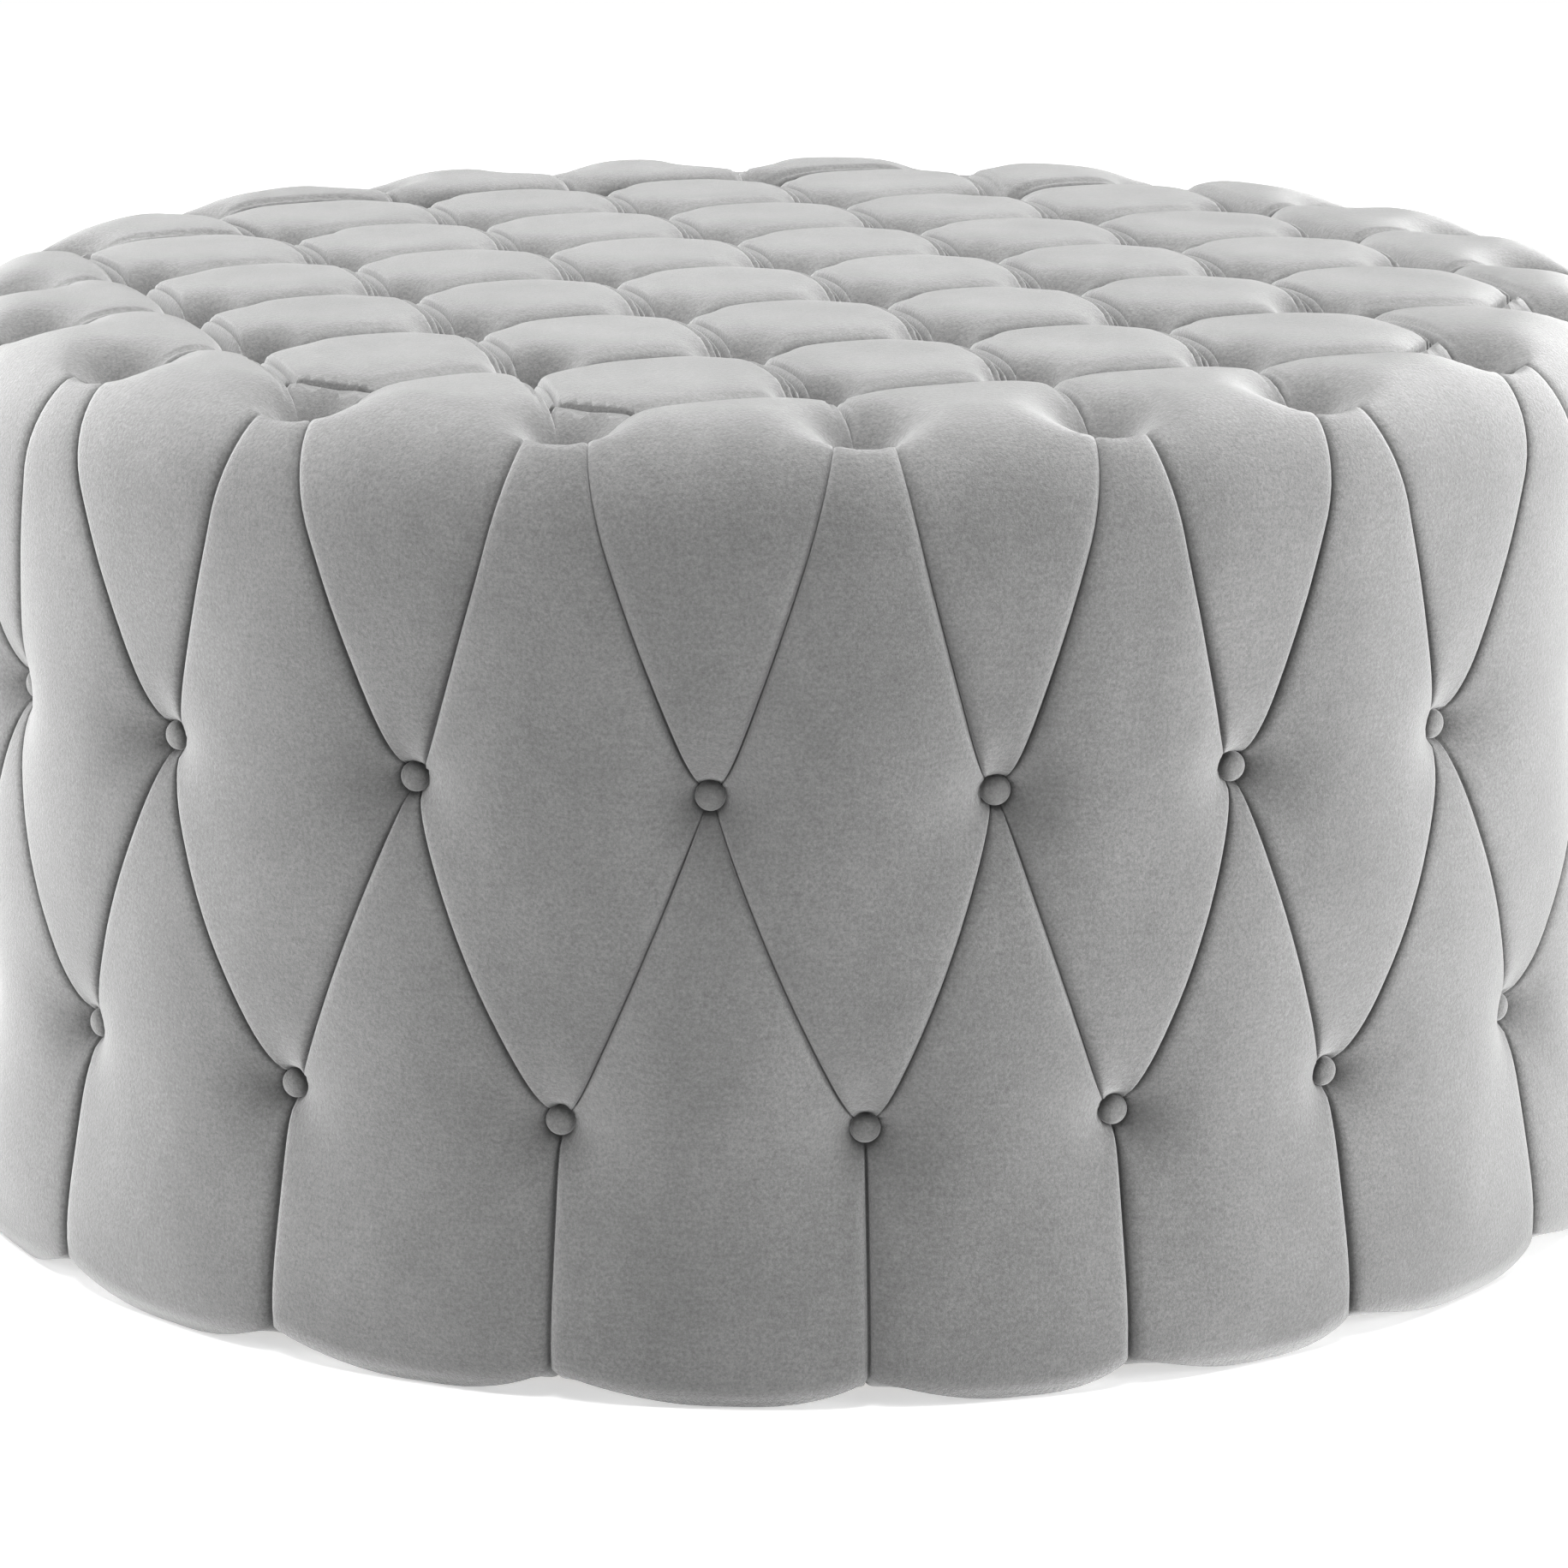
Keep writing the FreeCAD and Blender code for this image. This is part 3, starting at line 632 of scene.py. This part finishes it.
def is_cut(i, j):
    return sorted(half_pitches(i, j)) == CUT_CELL


def cut_plane(i, j, outset):
    """A point and the outward direction of the lid's short side across this tuft's corner."""
    middle = np.array([i + 0.5, j + 0.5]) * PITCH
    at = min(
        (k for k, (kind, _) in enumerate(CORNERS) if kind == "rim"),
        key=lambda k: np.linalg.norm(CORNERS[k][1] - middle),
    )
    rim = CORNERS[at][1]
    ends = [CORNERS[at - 1][1], CORNERS[(at + 1) % len(CORNERS)][1]]
    a, b = [end + (rim - end) * LID_CORNER_SHARE for end in ends]
    side = (b - a) / np.linalg.norm(b - a)
    out = np.array([-side[1], side[0]])
    if out @ (rim - a) < 0:
        out = -out
    return a + out * outset, out


def cut_depth(xy, plane, inside):
    """Extra depth of a cut tuft: the lid's part rolls over its short side, and the body's lies low."""
    point, out = plane
    if not inside:
        return np.full(xy.shape[:2], WEB_DEPTH)
    return ROLL_DEPTH * np.exp(-np.maximum((point - xy) @ out, 0) / ROLL_WIDTH)


# ---- meshes ----


def add_grid(bm, points, plane=None, keep_inside=True):
    """Adds a grid of points as quads. With a plane, only the part on one side of it is kept."""
    part = bmesh.new()
    rows, columns = points.shape[:2]
    made = [[part.verts.new(points[i, j]) for j in range(columns)] for i in range(rows)]
    for i in range(rows - 1):
        for j in range(columns - 1):
            part.faces.new([made[i][j], made[i + 1][j], made[i + 1][j + 1], made[i][j + 1]])
    if plane is not None:
        point, out = plane
        bmesh.ops.bisect_plane(
            part,
            geom=part.verts[:] + part.edges[:] + part.faces[:],
            plane_co=(*point, 0),
            plane_no=(*out, 0),
            clear_outer=keep_inside,
            clear_inner=not keep_inside,
        )
    copy = bpy.data.meshes.new("part")
    part.to_mesh(copy)
    part.free()
    bm.from_mesh(copy)
    bpy.data.meshes.remove(copy)


def weld(bm):
    bmesh.ops.remove_doubles(bm, verts=bm.verts, dist=WELD)


def extend(bm, edges, move):
    """Extrudes these boundary edges and places the new points with move. Returns the new edges."""
    made = bmesh.ops.extrude_edge_only(bm, edges=edges)["geom"]
    for vert in (g for g in made if isinstance(g, bmesh.types.BMVert)):
        vert.co = move(vert.co)
    return [g for g in made if isinstance(g, bmesh.types.BMEdge) and g.is_boundary]


def boundary(bm, test):
    return [e for e in bm.edges if e.is_boundary and all(test(v.co) for v in e.verts)]


def finish_mesh(bm, name, material):
    weld(bm)
    bmesh.ops.recalc_face_normals(bm, faces=bm.faces)
    mesh = bpy.data.meshes.new(name)
    bm.to_mesh(mesh)
    bm.free()
    mesh.polygons.foreach_set("use_smooth", np.ones(len(mesh.polygons), dtype=bool))
    piece = bpy.data.objects.new(name, mesh)
    bpy.context.scene.collection.objects.link(piece)
    piece.data.materials.append(material)
    return piece


def on_opening(co):
    return co.z > RING_TOP + OPENING_EDGE and math.hypot(co.x, co.y) < RIM_SEAT_R


def level(z):
    return lambda co: Vector((co.x, co.y, z))


def drawn_in(distance, z):
    """Moves a point towards the axis by this distance, to this height."""

    def move(co):
        share = 1 - distance / math.hypot(co.x, co.y)
        return Vector((co.x * share, co.y * share, z))

    return move


def body_cover(material):
    """The cover of the side and rim, down into the opening and turned under at the hem."""
    bm = bmesh.new()
    for k in range(COLUMNS):
        add_grid(bm, diamond(k))
        add_grid(bm, lower_tuft(k))
        add_grid(bm, shoulder_tuft(k))
    for i, j in lid_cells():
        if is_cut(i, j):
            plane = cut_plane(i, j, LID_OUTSET + LID_CLEARANCE)
            points = top_cell(i, j, BODY_CORNERS, (TOP_STEPS, TOP_STEPS), plane, inside=False)
            add_grid(bm, points, plane, keep_inside=False)
    weld(bm)
    extend(bm, boundary(bm, on_opening), level(RING_TOP + SKIRT_GAP))
    hem = boundary(bm, lambda co: co.z < HEM_EDGE_Z)
    for distance, z in HEM_TUCKS:
        hem = extend(bm, hem, drawn_in(distance, z))
    return finish_mesh(bm, "tufted_body_cover", material)


def lid_cover(material):
    """The cover of the lid, down its sides and turned under the lid board."""
    bm = bmesh.new()
    for i, j in lid_cells():
        plane = cut_plane(i, j, LID_OUTSET) if is_cut(i, j) else None
        add_grid(bm, top_cell(i, j, LID_CORNERS, LID_STEPS, plane), plane)
    weld(bm)
    edge = extend(bm, boundary(bm, lambda co: True), level(LID_BOARD_Z + SKIRT_GAP))
    distance, above = LID_TUCK
    extend(bm, edge, drawn_in(distance, LID_BOARD_Z + above))
    return finish_mesh(bm, "tufted_lid_cover", material)


def button_profile():
    """Radius and height of the rings of a button, from its foot to its top."""
    rings = [(BUTTON_R * BUTTON_FOOT, -BUTTON_FOOT_DEPTH)]
    for i in range(BUTTON_RINGS + 1):
        angle = math.pi * (0.5 * i / BUTTON_RINGS)
        radius = BUTTON_R * math.cos(angle) ** BUTTON_FULLNESS
        rings.append((radius, BUTTON_BASE + BUTTON_DOME * math.sin(angle)))
    return rings


def buttons(node, material):
    """One group of covered buttons, each on its seat."""
    bm = bmesh.new()
    for seat, out in SEATS[node]:
        rotation = Vector(out).to_track_quat("Z", "Y")
        previous = None
        for radius, height in button_profile():
            circle = []
            for n in range(BUTTON_SIDES):
                angle = TAU * n / BUTTON_SIDES
                local = Vector((radius * math.cos(angle), radius * math.sin(angle), height))
                circle.append(bm.verts.new(Vector(seat) + rotation @ local))
            if previous:
                for n in range(BUTTON_SIDES):
                    m = (n + 1) % BUTTON_SIDES
                    bm.faces.new([previous[n], previous[m], circle[m], circle[n]])
            previous = circle
    return finish_mesh(bm, "covered_" + node, material)


# ---- materials ----


def principled(name, settings):
    """A new material with these shader settings, and its shader."""
    material = bpy.data.materials.new(name)
    material.use_nodes = True
    shader = material.node_tree.nodes["Principled BSDF"]
    for socket, value in settings.items():
        shader.inputs[socket].default_value = value
    return material, shader


def noise(tree, scale, detail, roughness, stretch=(1, 1, 1)):
    coords = tree.nodes.new("ShaderNodeTexCoord")
    mapping = tree.nodes.new("ShaderNodeMapping")
    mapping.inputs["Scale"].default_value = stretch
    tree.links.new(coords.outputs["Object"], mapping.inputs["Vector"])
    texture = tree.nodes.new("ShaderNodeTexNoise")
    texture.inputs["Scale"].default_value = scale
    texture.inputs["Detail"].default_value = detail
    texture.inputs["Roughness"].default_value = roughness
    tree.links.new(mapping.outputs["Vector"], texture.inputs["Vector"])
    return texture.outputs["Fac"]


def ramp(tree, source, dark, light, positions=NOISE_RANGE):
    """A colour that goes from dark to light as the source goes over these positions."""
    node = tree.nodes.new("ShaderNodeValToRGB")
    for element, position, colour in zip(node.color_ramp.elements, positions, (dark, light)):
        element.position = position
        element.color = (*colour, 1)
    tree.links.new(source, node.inputs["Fac"])
    return node.outputs["Color"]


def multiplied(tree, a, b):
    node = tree.nodes.new("ShaderNodeMix")
    node.data_type = "RGBA"
    node.blend_type = "MULTIPLY"
    node.inputs["Factor"].default_value = 1.0
    tree.links.new(a, node.inputs["A"])
    tree.links.new(b, node.inputs["B"])
    return node.outputs["Result"]


def bump(tree, shader, heights):
    """Chains bump maps, each given as (output, distance in metres)."""
    previous = None
    for source, distance in heights:
        node = tree.nodes.new("ShaderNodeBump")
        node.inputs["Distance"].default_value = distance
        tree.links.new(source, node.inputs["Height"])
        if previous:
            tree.links.new(previous, node.inputs["Normal"])
        previous = node.outputs["Normal"]
    tree.links.new(previous, shader.inputs["Normal"])


def shades(colour, low, high):
    return [tuple(c * low for c in colour), tuple(c * high for c in colour)]


def neutral(value):
    return (value, value, value)


def painted_fold_shade(tree):
    """Painted shade at the bottom of pleats and folds: ambient occlusion darkens the velvet's base colour
    there.
    """
    fold_occlusion = tree.nodes.new("ShaderNodeAmbientOcclusion")
    fold_occlusion.samples = FOLD_SAMPLES
    fold_occlusion.inputs["Distance"].default_value = FOLD_REACH
    return ramp(tree, fold_occlusion.outputs["AO"], neutral(FOLD_SHADE), neutral(1.0), FOLD_RANGE)


def velvet(name, colour):
    """Short-pile velvet: cloudy tone, streaks where the nap is brushed, fine grain, painted shade in the
    pleats and folds, and a soft sheen.
    """
    material, shader = principled(name, VELVET_SHADER)
    tree = material.node_tree
    nap, pile = noise(tree, *NAP), noise(tree, *PILE)
    tone = ramp(tree, noise(tree, *CLOUD), *shades(colour, *CLOUD_SHADES))
    for texture, darkest in ((noise(tree, *STREAK), STREAK_SHADE), (nap, NAP_SHADE), (pile, PILE_SHADE)):
        tone = multiplied(tree, tone, ramp(tree, texture, neutral(darkest), neutral(1.0)))
    # painted shade: the tone is darkened by ambient occlusion in the pleats and folds
    tone = multiplied(tree, tone, painted_fold_shade(tree))
    tree.links.new(tone, shader.inputs["Base Color"])
    bump(tree, shader, [(pile, PILE_RELIEF), (nap, NAP_RELIEF)])
    return material


def grained(name, colour, scale, stretch, roughness=0.6, relief=0.2, spread=0.25, metallic=0.0):
    """A plain procedural finish: two tones of one colour along a stretched noise, with a relief in mm."""
    material, shader = principled(name, {"Roughness": roughness, "Metallic": metallic})
    tree = material.node_tree
    texture = noise(tree, scale, *GRAIN, stretch)
    tone = ramp(tree, texture, *shades(colour, 1 - spread, 1 + spread / 2))
    tree.links.new(tone, shader.inputs["Base Color"])
    bump(tree, shader, [(texture, relief * MM)])
    return material


def dress_frame(velvet_material):
    """Gives every CAD node the finish of its material slot."""
    finishes = {  # name, colour, scale, stretch, roughness, relief, spread, metallic
        "plywood": grained("birch_plywood", (0.62, 0.46, 0.29), 30, (0.15, 1, 6), 0.55, 0.15),
        "softwood": grained("pine", (0.70, 0.50, 0.28), 40, (1, 1, 0.08), 0.6, 0.2),
        "foam": grained("foam", (0.80, 0.74, 0.55), 500, (1, 1, 1), 0.95, 0.5),
        "lining": grained("lining", (0.05, 0.05, 0.055), 900, (1, 1, 1), 0.9, 0.3, 0.4),
        "zinc_steel": grained("zinc", (0.6, 0.61, 0.63), 300, (1, 1, 1), 0.35, 0.02, 0.15, 1.0),
        "nylon_tie": grained("twine", (0.75, 0.74, 0.70), 1500, (1, 1, 0.3), 0.6, 0.2),
        "fibre_washer": grained("fibre", (0.16, 0.12, 0.09), 400, (1, 1, 1), 0.7, 0.1),
        "dust_cloth": grained("dust_cloth", (0.03, 0.03, 0.03), 1200, (1, 1, 1), 0.95, 0.3, 0.5),
        "black_plastic": grained("black_plastic", (0.03, 0.03, 0.03), 500, (1, 1, 1), 0.45, 0.05),
        "felt": grained("felt", (0.15, 0.15, 0.15), 700, (1, 1, 1), 0.95, 0.5, 0.4),
        "webbing": grained("webbing", (0.30, 0.30, 0.30), 600, (1, 3, 1), 0.85, 0.4),
        "velvet": velvet_material,
    }
    for part in frame["record"]["subparts"]:
        slots = NODES[part["node"]].data.materials
        for index in range(len(slots)):
            slots[index] = finishes[part["material_slot"]]


# ---- stage ----


def area_light(name, size, energy, place):
    """A soft light, placed in the camera's frame: x to its right, y away from it, z up."""
    data = bpy.data.lights.new(name, "AREA")
    data.shape = "RECTANGLE"
    data.size, data.size_y = size
    data.energy = energy
    lamp = bpy.data.objects.new(name, data)
    cos, sin = math.cos(CAMERA_TURN), math.sin(CAMERA_TURN)
    x, y, z = place
    lamp.location = (x * cos - y * sin, x * sin + y * cos, z)
    lamp.rotation_euler = (Vector(LIGHT_TARGET) - lamp.location).to_track_quat("-Z", "Y").to_euler()
    bpy.context.scene.collection.objects.link(lamp)


def floor():
    """A plain pale floor, whitened by a glow of its own."""
    reach = FLOOR_REACH
    corners = [(-reach, -reach, 0), (reach, -reach, 0), (reach, reach, 0), (-reach, reach, 0)]
    mesh = bpy.data.meshes.new("floor")
    mesh.from_pydata(corners, [], [(0, 1, 2, 3)])
    plane = bpy.data.objects.new("floor", mesh)
    bpy.context.scene.collection.objects.link(plane)
    pale = grained("pale_floor", (0.93, 0.93, 0.93), 3, (1, 1, 1), 0.9, 0.0, 0.01)
    shader = pale.node_tree.nodes["Principled BSDF"]
    shader.inputs["Emission Color"].default_value = (1, 1, 1, 1)
    shader.inputs["Emission Strength"].default_value = FLOOR_GLOW
    plane.data.materials.append(pale)


def studio_world():
    """A studio that is white behind the object and dim in front of it."""
    world = bpy.data.worlds.new("studio")
    world.use_nodes = True
    tree = world.node_tree
    background = tree.nodes["Background"]
    coords = tree.nodes.new("ShaderNodeTexCoord")
    facing = tree.nodes.new("ShaderNodeVectorMath")
    facing.operation = "DOT_PRODUCT"
    facing.inputs[1].default_value = (-math.sin(CAMERA_TURN), math.cos(CAMERA_TURN), 0)
    strength = tree.nodes.new("ShaderNodeMapRange")
    for socket, value in zip(("From Min", "From Max", "To Min", "To Max"), WORLD_FACING + WORLD_STRENGTH):
        strength.inputs[socket].default_value = value
    tree.links.new(coords.outputs["Generated"], facing.inputs[0])
    tree.links.new(facing.outputs["Value"], strength.inputs["Value"])
    tree.links.new(strength.outputs["Result"], background.inputs["Strength"])
    background.inputs["Color"].default_value = (1, 1, 1, 1)
    bpy.context.scene.world = world


def stage():
    floor()
    studio_world()
    for name, (size, energy, place) in LIGHTS.items():
        area_light(name, size, energy, place)
    bpy.context.scene.view_settings.view_transform = "Standard"


def camera():
    data = bpy.data.cameras.new("camera")
    data.lens = CAMERA_LENS
    data.sensor_width = CAMERA_SENSOR
    view = bpy.data.objects.new("camera", data)
    x = CAMERA_DISTANCE * math.sin(CAMERA_TURN)
    y = -CAMERA_DISTANCE * math.cos(CAMERA_TURN)
    view.location = (x, y, CAMERA_HEIGHT)
    view.rotation_euler = (math.pi / 2 - CAMERA_PITCH, 0, CAMERA_TURN)
    bpy.context.scene.collection.objects.link(view)
    bpy.context.scene.camera = view


# ---- the object ----


def put(piece, body, node):
    """Lets a velvet piece stand for a CAD node and ride on its body."""
    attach(piece, body)
    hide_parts(node)


def build():
    soft = velvet("velvet", GREY)
    tight = velvet("velvet_drawn_tight", BUTTON_GREY)
    dress_frame(soft)
    cover = body_cover(soft)
    put(cover, "body", "body_cover")
    lid = lid_cover(soft)
    put(lid, "lid", "lid_cover")
    for node in SEATS:
        put(buttons(node, tight), "lid" if node == "lid_buttons" else "body", node)


build()
stage()
camera()
